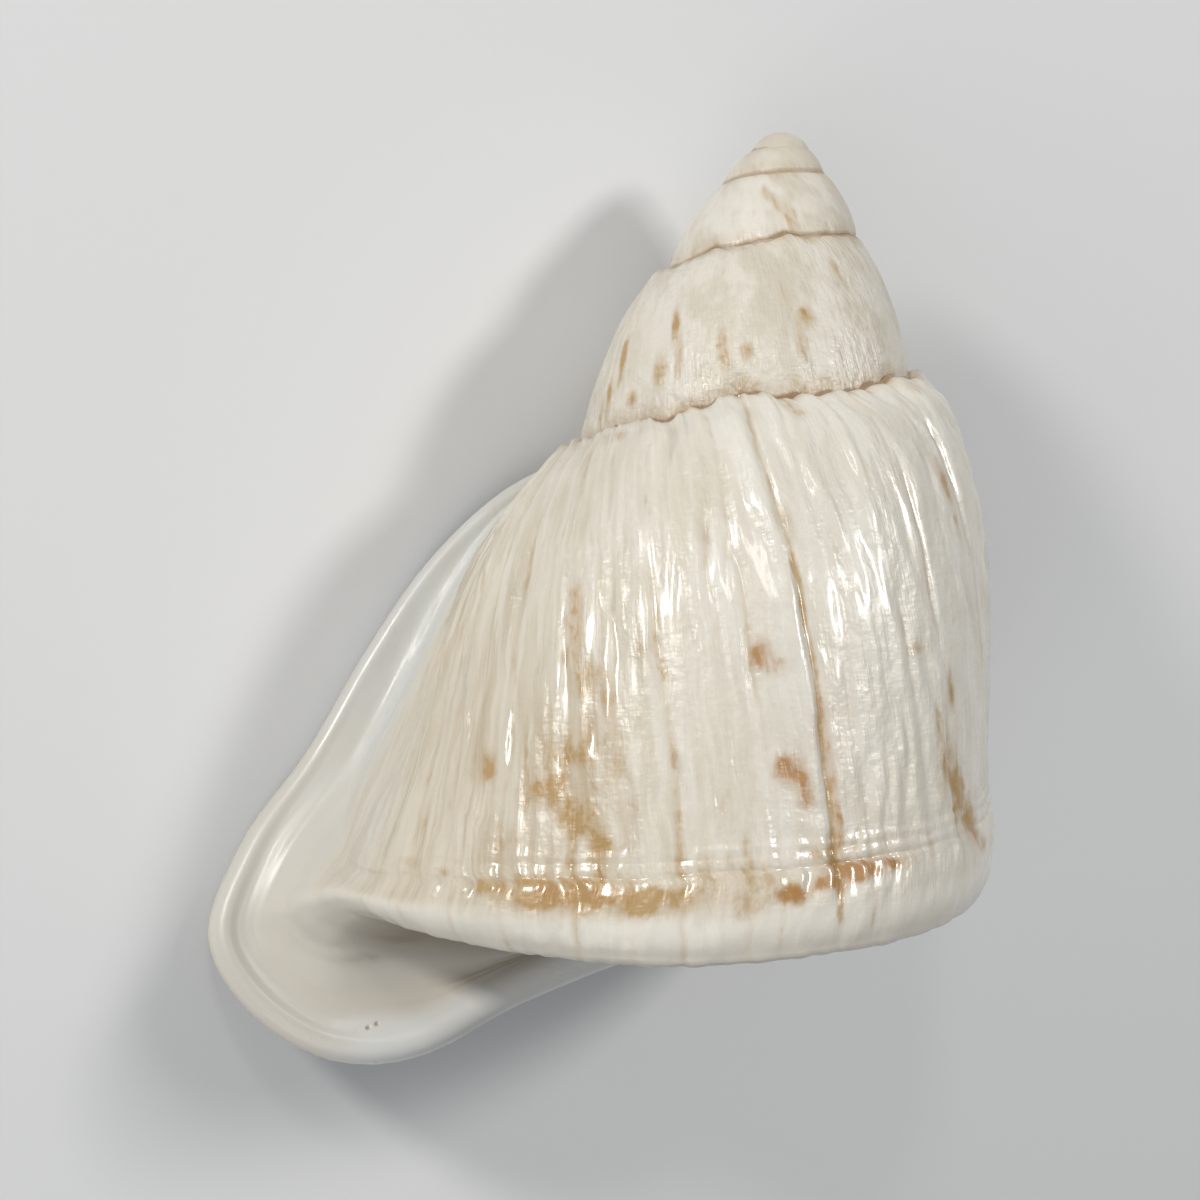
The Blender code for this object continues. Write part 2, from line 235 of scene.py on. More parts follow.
def section(turn):
    # radius, depth, lag and fall of a growth line, from inside the suture to the pillar
    sutureRadius, sutureDepth, keelRadius, keelDepth, baseDepth = throughStations(coil["stations"], turn)
    breadth, innerPower, outerPower = throughStations(coil["side"], turn)
    out, down = keelRadius - sutureRadius, keelDepth - sutureDepth
    toLip = min(max((turn - coil["keelReachFrom"]) / coil["keelReachOver"], 0), 1)
    reach = coil["keelReach"] * toLip**2
    thin = 1 - coil["keelThinning"] * toLip**1.3
    swellFall, bandFall, leanFall = coil["swellFall"], coil["bandFall"], coil["leanFall"]
    root = coil["rootShare"] * wallThickness(turn - 1)
    line = [(sutureRadius - root, sutureDepth + 0.2 * root, 0.0, -0.02)]
    for fall in (0.0, 0.03, 0.08, 0.15, 0.24, 0.35, 0.47, 0.60, 0.72, 0.83, 0.90):
        share = breadth * (1 - (1 - fall) ** innerPower) ** outerPower
        share += (1 - breadth) * coil["keelSwell"] * max(0, (fall - swellFall) / 0.3) ** 2
        radius = sutureRadius + share * out + reach * max(0, (fall - leanFall) / (1 - leanFall)) ** 1.5
        line.append((radius, sutureDepth + fall * down, coil["keelLag"] * math.sqrt(fall), fall))
    for swell, fall in ((0.52, 0.925), (0.74, 0.948), (0.92, 0.972), (1.0, 1.0)):
        radius = sutureRadius + (breadth + (1 - breadth) * swell) * out
        radius += reach * ((fall - leanFall) / (1 - leanFall)) ** 1.5
        depth = sutureDepth + min(fall, bandFall + (fall - bandFall) * thin) * down
        line.append((radius, depth, coil["keelLag"], fall))
    for inset, more, fall in ((0.010, 0.03, 1.035), (0.055, 0.06, 1.068), (0.14, 0.10, 1.09)):
        radius = sutureRadius + (1 - inset - more * toLip) * out + reach
        depth = sutureDepth + (bandFall + (fall - bandFall) * thin) * down
        line.append((radius, depth, coil["keelLag"], fall))
    edgeRadius, edgeDepth = line[-1][:2]
    # the base: share of the edge's radius, sag towards the base's middle, rise as a share of the side,
    # and lag
    base = (
        (0.80, 0.30, 0.0, 28),
        (0.60, 0.65, 0.0, 24),
        (0.42, 0.90, 0.0, 19),
        (0.28, 1.00, 0.005, 14),
        (0.17, 1.00, 0.03, 9),
        (0.10, 1.00, 0.10, 5),
        (0.065, 1.00, 0.22, 2),
    )
    for share, sag, rise, lag in base:
        depth = edgeDepth + (baseDepth - edgeDepth) * sag - rise * down
        line.append((edgeRadius * share, depth, lag, 2 - share))
    return np.array(line)


def growthLine(turn, places):
    # points of one growth line, and the fall of each
    line = section(turn)
    stations = np.column_stack([np.linspace(0, 1, len(line)), line])
    radius, depth, lag, fall = throughStations(stations, places).T
    angle = np.radians(lag - 360 * (turn - 4))
    return np.column_stack([radius * np.cos(angle), radius * np.sin(angle), -depth]), fall


def nearKeel(places):
    first, full, last, gone = lip["keelZone"]
    return (ramp(places, first, full) * (1 - ramp(places, last, gone)))[:, None]


def lipFrame(places):
    crease = growthLine(coil["creaseTurn"], places)[0]
    growing = unit(crease - growthLine(coil["creaseTurn"] - 0.01, places)[0])
    outward = unit(np.cross(unit(np.gradient(crease, axis=0)), growing))
    if np.median(np.sum(outward * (crease - crease.mean(axis=0)), axis=1)) < 0:
        outward = -outward
    rim = throughStations(lip["rim"], places)
    edge, roll, foot, lean = rim[:, :3], rim[:, 3:4], np.radians(rim[:, 4:5]), np.radians(rim[:, 5:6])
    facing = unit(np.array(lip["facing"]))
    spread = unit(np.cross(unit(np.gradient(edge, axis=0)), facing))
    if np.median(np.sum(spread * (edge - edge.mean(axis=0)), axis=1)) < 0:
        spread = -spread
    return crease, growing, outward, spread, -facing, edge - roll * spread, roll, foot, lean


def roundRoll(angle, spread, back):
    # direction from the middle of the rolled edge: 0 is back, 90 is outwards
    return np.cos(angle) * back + np.sin(angle) * spread


def flareLines(places, count):
    # lines of the flare, from just past the crease to the foot of the rolled edge
    crease, growing, outward, spread, back, centre, roll, footAngle, lean = lipFrame(places)
    foot = centre + roll * roundRoll(footAngle, spread, back)
    onKeel = nearKeel(places)
    pull = lip["pull"] + (lip["pullAtKeel"] - lip["pull"]) * onKeel
    reach = pull * np.linalg.norm(foot - crease, axis=1, keepdims=True)
    start = np.radians(lip["flareStart"] + (lip["flareStartAtKeel"] - lip["flareStart"]) * onKeel)
    radius = np.linalg.norm(crease[:, :2], axis=1, keepdims=True)
    onward = reach * np.clip(radius / lip["fullPullRadius"], lip["leastPull"], 1)
    leave = crease + onward * (np.cos(start) * growing + np.sin(start) * outward)
    arrive = foot - reach * unit(np.cos(lean) * spread + np.sin(lean) * back)
    lines = []
    for far in np.arange(1, count + 1) / count:
        near = 1 - far
        line = near**3 * crease + 3 * far * near**2 * leave
        lines.append(line + 3 * far**2 * near * arrive + far**3 * foot)
    return lines


def sheetNormals(lines):
    grid = np.array(lines)
    return unit(np.cross(np.gradient(grid, axis=0), np.gradient(grid, axis=1)))


def softened(lines, crease, places):
    # eases the crease where the keel runs into the lip
    lines = lines.copy()
    index = np.arange(len(lines))[:, None]
    weight = (bell(index - crease, mesh["softenedLines"]) * nearKeel(places)[:, 0])[..., None]
    for _ in range(mesh["softenings"]):
        middle = (lines[:-2] + lines[2:]) / 2
        lines[1:-1] += 0.5 * weight[1:-1] * (middle - lines[1:-1])
    return lines


relief = {
    # heights in millimetres
    "folds": 0.27,  # broad folds below the suture
    "creases": 0.24,  # sharp valleys
    "crests": 0.10,  # sharp ridges
    "riblets": 0.034,
    "crowding": 0.18,  # more of the riblets close to the lip
    "lipFolds": 1.7,  # how much stronger those are high on the whorl, right by the lip
    "dents": 0.05,
    # turns between which each kind comes in
    "grown": (3.15, 4.05),
    "ribbed": (3.3, 3.8),
    "crowded": (4.33, 4.52),
    "foldedLip": (4.44, 4.50),
    "smoothedLip": (4.505, 4.55),
    "threaded": (3.7, 4.0),
    "threads": 0.115,  # depth of the lines cut above the keel
    "threadFalls": (0.858, 0.884, 0.912),
    "halts": 0.19,  # depth of the lines where growth stopped for a while
    "haltWidth": 0.20,
    "haltSwell": (0.5, 0.34),  # how far after a halt the shell swells, and over what width
    "haltRadius": 12,  # the whorl's radius where that width holds
    # turn and strength
    "haltTurns": (
        (3.47, 0.3), (3.62, 0.5), (3.71, 0.4), (3.80, 0.7), (3.88, 0.5), (3.95, 0.6), (4.02, 0.7),
        (4.075, 0.5), (4.13, 0.6), (4.19, 0.7), (4.218, 0.5), (4.262, 0.6), (4.284, 1.3), (4.315, 0.6),
        (4.331, 0.5), (4.362, 1.0), (4.388, 0.6), (4.415, 0.9), (4.45, 0.6), (4.475, 0.7),
        (4.505, 0.7), (4.528, 0.6),
    ),
    "keelLumps": 0.14,
    "sutureWander": 0.24,  # how far the suture strays up and down
    "sutureCut": 0.16,
    "rimRidge": 0.05,  # a low ridge inside the rim
    "creaseStep": 0.13,  # how far the last growth line stands above the lip
    "dishFold": 0.25,  # a small fold that runs out of the hollow under the keel
    "dishRidge": 0.05,
    "ripples": 0.07,  # of the lip, broad and fine
    "fineRipples": 0.03,
}


def belowSuture(across, falls):
    # distance below the suture, in millimetres
    return across - np.array([np.interp(0.0, fall, line) for fall, line in zip(falls, across)])[:, None]


def haltLines(turn, across):
    # how deep each place is in the lines where growth stopped, and how high the swell after them
    depth, swell = 0, 0
    after, swellWidth = relief["haltSwell"]
    for place, (haltTurn, strength) in enumerate(relief["haltTurns"]):
        wander = 0.004 * grainNoise(across / 6, place * 3.7, 8)
        wander = wander + 0.001 * grainNoise(across / 1.1, place * 3.7, 28)
        away = (turn + wander - haltTurn) * 2 * np.pi * relief["haltRadius"]
        here = strength * (0.62 + 0.55 * grainNoise(across / 6, place * 5.3, 9))
        depth = depth + here * bell(away, relief["haltWidth"])
        swell = swell + here * bell(away - after, swellWidth)
    return depth, swell


def sutureWander(turns, along):
    # how far the suture wanders up, in millimetres
    wander = grainNoise(along / 1.7, 0.5, 13) + grainNoise(along / 5.5, 0.5, 14)
    wander = wander + 0.35 * grainNoise(along / 0.7, 0.5, 20)
    held = ramp(coil["creaseTurn"] - turns, 0.0, 0.08)
    return relief["sutureWander"] * wander * ramp(turns, 2.2, 3.4) * held


def aboveSuture(turns, falls, lines, wander):
    # distance above the next whorl's suture, in millimetres, where there is one
    lag = coil["keelLag"] * np.sqrt(np.clip(falls, 0, 1)) / 360
    following = turns[:, None] + 1 - lag
    depth = throughStations(coil["stations"], following)[..., 1] - np.interp(following, turns, wander)
    return np.where((following < coil["creaseTurn"]) & (falls < 1), depth + lines[..., 2], mesh["far"])


def sculpture(turns, along, across, falls, above):
    # height of the shell's relief, in millimetres, on each point of the whorls
    turn, u = turns[:, None], along[:, None]
    below = belowSuture(across, falls)
    patchy = 0.12 * grainNoise(u / 3, across / 4, 21)
    grown = ramp(turn + patchy + 0.18 * ramp(falls, 0.2, 0.8), *relief["grown"])
    late = ramp(turn, *relief["crowded"])
    onSide = 1 - 0.7 * ramp(falls, 0.93, 1.0)
    high = 1 - ramp(falls, 0.12, 0.5)
    drift = 0.6 * grainNoise(u / 6, across / 7, 1) + 0.3 * grainNoise(u / 2, across / 2.5, 16)
    patch = 0.55 + 0.45 * grainNoise(u / 8, across / 6, 4)
    folds = grainNoise(u / 2.5 + 0.6 * drift, across / 15, 2) * (0.35 + 0.65 * high)
    creases = np.minimum(np.abs(grainNoise(u / 2.1 + drift, across / 10, 3)), 0.30) * patch
    crests = np.clip(0.30 - np.abs(grainNoise(u / 1.7 + drift, across / 8, 17)), 0, 1) * (1.2 - patch)
    spireBase = ramp(falls, 0.22, 0.45) * (1 - ramp(turn, 3.6, 3.75)) * ramp(turn, 3.0, 3.2)
    riblets = grainNoise(u / 0.62 + drift, across / 5, 5) * (0.6 + 0.4 * patch) * (1 + 1.8 * spireBase)
    crowded = np.clip(grainNoise(u / 0.85 + 0.5 * drift, across / 14, 6), -0.35, 1)
    dents = grainNoise(u / 1.1, across / 1.6, 7) + 0.6 * grainNoise(u / 0.7, across / 1.1, 18)
    height = relief["folds"] * folds + relief["creases"] * 2.5 * creases + relief["crests"] * 2.5 * crests
    ribbed = 0.15 + 0.85 * ramp(turn + 0.5 * ramp(falls, 0.2, 0.45), *relief["ribbed"])
    height = height * (0.12 + 0.88 * grown) + relief["riblets"] * riblets * ribbed
    byLip = 1 + relief["lipFolds"] * ramp(turn, *relief["foldedLip"]) * (1 - ramp(falls, 0.40, 0.60))
    height = height + relief["crowding"] * crowded * late * byLip * (0.35 + 0.65 * ramp(falls, 0.02, 0.2))
    height = height + relief["creaseStep"] * bell(coil["creaseTurn"] - turn, 0.006) * high
    depth, swell = haltLines(turn, across)
    height = height + relief["halts"] * (0.55 * swell - depth)
    height = height * (1 - 0.8 * ramp(turn, *relief["smoothedLip"]) * ramp(falls, 0.42, 0.70))
    height = height * onSide + relief["dents"] * dents * (0.35 + 0.65 * grown)
    shown = ramp(turn, *relief["threaded"]) * (1 - 0.5 * ramp(turn, 4.25, 4.45))
    for place, fall in enumerate(relief["threadFalls"]):
        wander = 0.005 * grainNoise(u / 3, place * 4.1, 10)
        strength = 0.65 + 0.6 * grainNoise(u / 4, place * 2.3, 11)
        cut = strength * shown * bell(falls + wander - fall, 0.005)
        height = height - relief["threads"] * cut
        depth = depth + 0.5 * cut
    lumps = bell(falls - 0.985, 0.035) * grainNoise(u / 3.2, across / 20, 12) * ramp(turn, 3.5, 3.9)
    height = height + relief["keelLumps"] * lumps
    crinkle = 1 + 0.7 * grainNoise(u / 0.8, 0.5, 19) * grown
    edge = relief["sutureCut"] * (0.3 + 0.7 * ramp(turn, 1.0, 4.0)) * crinkle
    height = height + edge * (0.8 * grown * bell(below - 0.75, 0.42) - 1.2 * bell(below - 0.05, 0.20))
    return height - 0.6 * edge * bell(above - 0.05, 0.16), depth


def dishMarks(s, fall):
    # height of the small folds in the dish of the lip
    fold = bell(fall - 1.10 - 0.3 * (0.44 - s), 0.012) * ramp(s, 0.14, 0.26) * (1 - ramp(s, 0.40, 0.54))
    ridge = bell(s - 0.72, 0.035) * ramp(fall, 1.22, 1.32) * (1 - ramp(fall, 1.44, 1.58))
    return relief["dishFold"] * fold + relief["dishRidge"] * ridge


def drawOutside():
    # the outside from the first growth line to the foot of the rolled edge, and what is known there
    places = acrossPlaces()
    turns = lineTurns()
    drawn = [growthLine(turn, places) for turn in turns]
    lines = np.array([line for line, _ in drawn])
    falls = np.array([fall for _, fall in drawn])
    middle = np.argmin(np.abs(falls[-1] - 0.6))
    along = np.concatenate([[0], np.cumsum(np.linalg.norm(np.diff(lines[:, middle], axis=0), axis=1))])
    steps = np.linalg.norm(np.diff(lines, axis=1), axis=2)
    across = np.concatenate([np.zeros((len(turns), 1)), np.cumsum(steps, axis=1)], axis=1)
    whorls = len(turns)
    smooth = np.concatenate([lines, flareLines(places, mesh["flareLines"])])
    smooth = softened(smooth, whorls, places)
    normals = sheetNormals(smooth)
    wander = sutureWander(turns, along)
    above = aboveSuture(turns, falls, lines, wander)
    height, depth = sculpture(turns, along, across, falls, above)
    lines = smooth[:whorls] + normals[:whorls] * (height * ramp(across, 0.0, 0.35))[..., None]
    lines[..., 2] += wander[:, None] * (1 - ramp(falls, 0.0, 0.10))

    flare = smooth[whorls:]
    s = (np.arange(1, len(flare) + 1) / len(flare))[:, None]
    joined = np.diff(smooth[whorls - 1:], axis=0)
    flareAlong = along[-1] + np.cumsum(np.linalg.norm(joined, axis=2), axis=0)
    place = places[None, :]
    leftover = height[-1][None, :] * (1 - ramp(s, 0.0, 0.16))
    leftover = leftover - relief["creaseStep"] * bell(s - 0.09, 0.06) * (1 - ramp(place, 0.30, 0.40))
    onFoot = ramp(place, 0.42, 0.6) * (1 - ramp(place, 0.80, 0.9))
    broken = 0.6 + 0.6 * grainNoise(place * 22, 0.5, 22)
    ridge = relief["rimRidge"] * onFoot * (bell(s - 0.80, 0.085) * broken - 0.5 * bell(s - 0.92, 0.05))
    ridge = ridge + dishMarks(s, falls[-1][None, :])
    ripple = grainNoise(s * 7, place * 12, 15) * ramp(s, 0.05, 0.4) * (1 - ramp(s, 0.85, 1.0))
    fine = grainNoise(s * 18, place * 9, 23) * ramp(s, 0.2, 0.5) * onFoot
    ripple = relief["ripples"] * ripple + relief["fineRipples"] * fine
    flare = flare + normals[whorls:] * (leftover + ridge + ripple)[..., None]
    return {
        "turns": turns,
        "falls": falls,
        "along": along,
        "across": across,
        "smooth": smooth,
        "lines": np.concatenate([lines, flare]),
        "height": height,
        "dirt": depth,
        "above": above,
        "flareAlong": flareAlong,
        "flareShare": s[:, 0],
    }


# Stains: turn, fall, width along the whorl and height across it in millimetres, strength

stains = {
    "tan": (
        (4.412, 0.72, 3.2, 5.5, 0.54), (4.44, 0.88, 3.4, 2.6, 0.42), (4.38, 0.93, 3.6, 1.6, 0.4),
        (4.475, 0.72, 3, 5, 0.34), (4.345, 0.94, 5, 2.6, 0.55), (4.19, 0.8, 2.4, 4, 0.38),
        (4.33, 0.78, 2.6, 3.5, 0.3), (4.285, 0.9, 3.6, 2.4, 0.46), (4.409, 0.42, 0.8, 4, 0.75),
        (4.402, 0.53, 1.9, 1.5, 0.75), (4.392, 0.57, 1, 1.8, 0.6), (4.404, 0.64, 1.2, 2.4, 0.7),
        (4.417, 0.67, 2.2, 1.3, 0.8), (4.428, 0.74, 2.2, 1.3, 0.85), (4.411, 0.79, 1.9, 1.9, 1),
        (4.402, 0.85, 1.1, 2.4, 0.9), (4.39, 0.74, 1.6, 1.6, 0.4), (4.403, 0.9, 0.5, 1.6, 0.8),
        (4.462, 0.69, 1.1, 1.4, 0.85), (4.47, 0.75, 0.7, 0.7, 0.5), (4.283, 0.25, 0.9, 1.8, 0.6),
        (4.284, 0.37, 0.3, 4.5, 0.5), (4.456, 0.93, 2.2, 0.9, 0.85), (4.436, 0.942, 3.4, 1.5, 0.95),
        (4.412, 0.947, 3.4, 1.6, 0.95), (4.388, 0.955, 3, 1.5, 0.9), (4.366, 0.955, 2.4, 1.4, 0.8),
        (4.345, 0.93, 1.8, 0.7, 0.5), (4.33, 0.9, 0.5, 2, 0.5), (4.31, 0.955, 2.4, 0.9, 0.6),
        (4.185, 0.61, 0.6, 1.8, 0.75), (4.2, 0.69, 0.6, 2.2, 0.6), (4.197, 0.76, 0.8, 2.2, 0.65),
        (4.184, 0.82, 1.2, 2.2, 0.8), (4.172, 0.9, 1.6, 2.2, 0.9), (4.16, 0.95, 1.6, 1, 0.6),
        (4.21, 0.51, 1.6, 0.7, 0.5), (4.503, 0.89, 1.2, 0.6, 0.55), (4.483, 0.905, 0.9, 0.5, 0.6),
        (4.5, 0.8, 0.4, 2, 0.45), (4.315, 0.43, 0.4, 4, 0.4), (4.248, 0.03, 1.2, 1.6, 0.55),
        (4.115, 0.02, 1.4, 1, 0.6), (4.389, 0.03, 1.4, 0.9, 0.6), (4.362, 0.62, 0.4, 9, 0.45),
        (4.405, 0.03, 0.9, 1.2, 0.5), (4.45, 0.02, 1.2, 0.8, 0.5), (3.405, 0.27, 0.5, 2, 0.8),
        (3.4, 0.37, 0.5, 2.2, 0.8), (3.421, 0.4, 0.9, 1.8, 0.68), (3.454, 0.48, 0.8, 1, 0.72),
        (3.474, 0.32, 0.5, 2.8, 0.7), (3.487, 0.44, 0.5, 2.4, 0.75), (3.499, 0.48, 0.4, 1.6, 0.65),
        (3.264, 0.3, 0.9, 1.1, 0.9), (3.277, 0.4, 0.6, 2.2, 0.75), (3.281, 0.22, 0.8, 2, 0.44),
        (3.2, 0.15, 0.6, 1.8, 0.5), (3.355, 0.38, 0.7, 2, 0.75), (3.333, 0.4, 0.9, 0.9, 0.48),
        (3.236, 0.45, 0.6, 1.2, 0.48), (3.194, 0.45, 0.6, 1.6, 0.48), (2.325, 0.2, 0.5, 1.1, 0.76),
        (2.31, 0.3, 0.5, 1.2, 0.72), (2.29, 0.4, 0.6, 1.2, 0.64), (2.35, 0.38, 0.4, 0.5, 0.48),
        (2.39, 0.43, 0.4, 0.5, 0.4), (2.444, 0.18, 0.5, 1, 0.4), (4.438, 0.72, 0.4, 8, 0.5),
        (4.372, 0.46, 1, 2.8, 0.4), (4.386, 0.8, 1.3, 2.8, 0.45), (4.394, 0.66, 1.8, 4.2, 0.5),
        (4.3, 0.93, 5, 2, 0.42), (4.425, 0.93, 6, 2.6, 0.5), (4.25, 0.91, 4, 2, 0.4),
    ),
    "rust": (
        (4.310, 0.50, 1.0, 1.3, 0.85), (4.302, 0.53, 1.1, 0.8, 0.65),
        (4.280, 0.61, 1.2, 1.3, 0.4), (4.284, 0.67, 0.9, 1.4, 0.6),
        (4.303, 0.73, 1.5, 1.3, 0.95), (4.297, 0.78, 1.0, 1.2, 0.75), (4.280, 0.72, 0.4, 5.5, 0.6),
        (4.279, 0.84, 0.4, 2.6, 0.7), (4.274, 0.93, 3.0, 1.0, 1.0), (4.256, 0.925, 1.4, 0.7, 0.8),
        (4.290, 0.945, 2.0, 0.8, 0.75), (4.311, 0.965, 1.4, 0.8, 0.7), (4.403, 0.90, 0.3, 1.8, 0.45),
        (4.172, 0.91, 0.9, 1.2, 0.5), (4.325, 0.01, 2.4, 0.5, 0.6), (4.425, 0.94, 2.4, 0.8, 0.5),
        (4.398, 0.95, 2.2, 0.8, 0.5), (3.520, 0.45, 0.25, 3.0, 0.4),
    ),
    "unseen": 60,  # more of them, scattered over the sides that face away
    "unseenSeed": 41,
}


def unseenStains():
    # stains of the same kinds on the whorls' other sides
    pool = np.random.default_rng(stains["unseenSeed"])
    rows = []
    for _ in range(stains["unseen"]):
        turns = [pool.uniform(3.56, 4.15), pool.uniform(2.5, 3.15), pool.uniform(4.08, 4.15)]
        turn = pool.choice(turns, p=[0.7, 0.22, 0.08])
        fall = pool.choice([pool.uniform(0.05, 0.85), pool.uniform(0.90, 0.98)], p=[0.7, 0.3])
        size = pool.uniform(0.4, 1.5) * (0.5 + 0.5 * (turn > 3.5))
        tall = size * pool.uniform(1.0, 3.0) if fall < 0.88 else size * 0.6
        rows.append((turn, fall, size, tall, pool.uniform(0.4, 0.95)))
    return rows


def paintStains(rows, out):
    # strength of the stains at each point of the whorls
    painted = np.zeros_like(out["falls"])
    turns, along, across, falls = out["turns"], out["along"], out["across"], out["falls"]
    for turn, fall, width, tall, strength in rows:
        line = np.argmin(np.abs(turns - turn))
        offAlong = (along - np.interp(turn, turns, along))[:, None] / (width / 2)
        offAcross = (across - np.interp(fall, falls[line], across[line])) / (tall / 2)
        painted = np.maximum(painted, strength * (1 - ramp(np.hypot(offAlong, offAcross), 0.2, 2.2)))
    return painted


def drawWall():
    # all lines of the wall: outside, over the rolled edge, and back up the inside
    out = drawOutside()
    count = mesh["acrossPoints"]
    whorls = len(out["turns"])
    flares = mesh["flareLines"]
    _, _, _, spread, back, centre, roll, footAngle, _ = lipFrame(acrossPlaces())
    rings = list(out["lines"])
    shares = np.arange(1, mesh["rollLines"] + 1) / mesh["rollLines"]
    angles = [footAngle + (math.radians(lip["rollEnd"]) - footAngle) * share for share in shares]
    rings += [centre + roll * roundRoll(angle, spread, back) for angle in angles]

    smooth = out["smooth"]
    normals = sheetNormals(smooth)
    last = wallThickness(coil["creaseTurn"])
    flareShare = out["flareShare"][:, None, None]
    full = np.minimum(lip["wallShare"] * roll, lip["thickest"])
    thickness = np.concatenate([
        np.array([np.full((count, 1), wallThickness(turn)) for turn in out["turns"]]),
        last + (full[None] - last) * flareShare,
    ])
    inside = smooth - normals * thickness
    picked = np.concatenate([
        np.arange(len(smooth) - 1, whorls - 1, -mesh["insideStride"]),
        np.round(np.interp(
            np.linspace(coil["creaseTurn"], coil["firstTurn"], mesh["insideLines"]),
            out["turns"],
            np.arange(whorls),
        )).astype(int),
    ])
    rings += list(inside[picked])
    rings.append(out["lines"][0])

    total = len(rings)
    edgeStart = whorls + flares
    insideStart = edgeStart + len(angles)
    names = ("u", "v", "turn", "fall", "flare", "inside", "height", "below", "above", "dirt", "tan", "rust")
    info = {name: np.zeros((total, count)) for name in names}
    info["v"][:] = out["across"][-1]
    info["v"][:whorls] = out["across"]
    info["u"][:whorls] = out["along"][:, None]
    info["u"][whorls:edgeStart] = out["flareAlong"]
    rollLength = [(angle - footAngle)[:, 0] * roll[:, 0] for angle in angles]
    info["u"][edgeStart:insideStart] = out["flareAlong"][-1] + np.array(rollLength)
    info["turn"][:] = coil["creaseTurn"]
    info["turn"][:whorls] = out["turns"][:, None]
    info["fall"][:] = out["falls"][-1]
    info["fall"][:whorls] = out["falls"]
    info["above"][:] = mesh["far"]
    info["above"][:whorls] = out["above"]
    info["below"][:] = mesh["far"]
    info["below"][:whorls] = belowSuture(out["across"], out["falls"])
    info["height"][:whorls] = out["height"]
    info["dirt"][:whorls] = out["dirt"]
    info["flare"][whorls:edgeStart] = out["flareShare"][:, None]
    info["flare"][edgeStart:] = 1
    info["tan"][:whorls] = paintStains(stains["tan"] + tuple(unseenStains()), out)
    info["rust"][:whorls] = paintStains(stains["rust"], out)
    backLines = np.arange(total - insideStart)[:, None]
    info["inside"][insideStart:] = np.clip(backLines / mesh["insideFade"], 0, 1)
    start = out["flareAlong"][-1] + mesh["insideStart"]
    info["u"][insideStart:] = start + backLines * mesh["insideStep"]
    return np.array(rings), info, picked


def lyingDown():
    # the turn that lays the shell on its aperture side with its apex towards +Y
    turn = Vector(rest["down"]).rotation_difference(Vector((0, 0, -1))).to_matrix().to_4x4()
    apex = turn @ Vector((0, 0, 1))
    return Matrix.Rotation(math.atan2(apex.x, apex.y), 4, "Z") @ turn


def makeShell():
    rings, info, picked = drawWall()
    rows, count = rings.shape[:2]
    form = bmesh.new()
    growthMap = form.loops.layers.uv.new("growth")
    bmesh.ops.create_grid(form, x_segments=rows - 1, y_segments=count - 1, size=0.5, calc_uvs=True)
    spots = [
        (round((vert.co.x + 0.5) * (rows - 1)), round((vert.co.y + 0.5) * (count - 1)))
        for vert in form.verts
    ]
    layers = {name: form.verts.layers.float.new(name) for name in info if name not in ("u", "v")}
    place = {}
    for vert, (i, j) in zip(form.verts, spots):
        vert.co = Vector(rings[i, j]) * mm
        place[vert] = (i, j)
        for name, layer in layers.items():
            vert[layer] = info[name][i, j]
    closeWall(form, place, rows, count, picked)
    for face in form.faces:
        for loop in face.loops:
            i, j = place[loop.vert]
            loop[growthMap].uv = (info["u"][i, j], info["v"][i, j])
    addCore(form, layers, growthMap)
    bmesh.ops.recalc_face_normals(form, faces=form.faces)
    data = bpy.data.meshes.new("shellVisual")
    form.to_mesh(data)
    form.free()
    piece = bpy.data.objects.new("shellVisual", data)
    bpy.context.scene.collection.objects.link(piece)
    data.shade_smooth()
    return piece


def closeWall(form, place, rows, count, picked):
    # joins the inside's last line to the outside's first, and the two faces of the wall along both sides
    spot = {where: vert for vert, where in place.items()}
    bmesh.ops.weld_verts(form, targetmap={spot[rows - 1, j]: spot[0, j] for j in range(count)})
    insideStart = rows - 1 - len(picked)
    for j in (0, count - 1):
        edge = [e for e in form.edges if e.is_boundary and all(place[vert][1] == j for vert in e.verts)]
        pairs = [(spot[i, j], spot[insideStart + k, j]) for k, i in enumerate(picked)]
        ties = [form.edges.new(pair) for pair in pairs if not form.edges.get(pair)]
        net = bmesh.ops.edgenet_fill(form, edges=edge + ties)
        bmesh.ops.triangulate(form, faces=net["faces"])


def addCore(form, layers, growthMap):
    # the blunt apex and the pillar that the whorls wind round
    size = Matrix.Diagonal((core["apexRadius"] * mm, core["apexRadius"] * mm, core["apexHeight"] * mm, 1))
    raised = Matrix.Translation((0, 0, -core["apexHeight"] * mm)) @ size
    dome = bmesh.ops.create_uvsphere(
        form,
        u_segments=core["sidesAround"],
        v_segments=core["domeRings"],
        radius=1,
        matrix=raised,
    )["verts"]
    pillar = bmesh.ops.create_cone(
        form,
        cap_ends=True,
        segments=core["sidesAround"],
        radius1=core["footRadius"] * mm,
        radius2=core["topRadius"] * mm,
        depth=(core["foot"] - core["top"]) * mm,
        matrix=Matrix.Translation((0, 0, -(core["foot"] + core["top"]) / 2 * mm)),
    )["verts"]
    # the turn whose finish each has, and whether it is inside
    for verts, turn, inside in ((dome, 0.3, 0.0), (pillar, 4.0, 1.0)):
        for vert in verts:
            vert[layers["turn"]] = turn
            vert[layers["fall"]] = 0.5
            vert[layers["below"]] = mesh["far"]
            vert[layers["above"]] = mesh["far"]
            vert[layers["inside"]] = inside
            for loop in vert.link_loops:
                loop[growthMap].uv = (vert.co.x / mm, vert.co.y / mm)


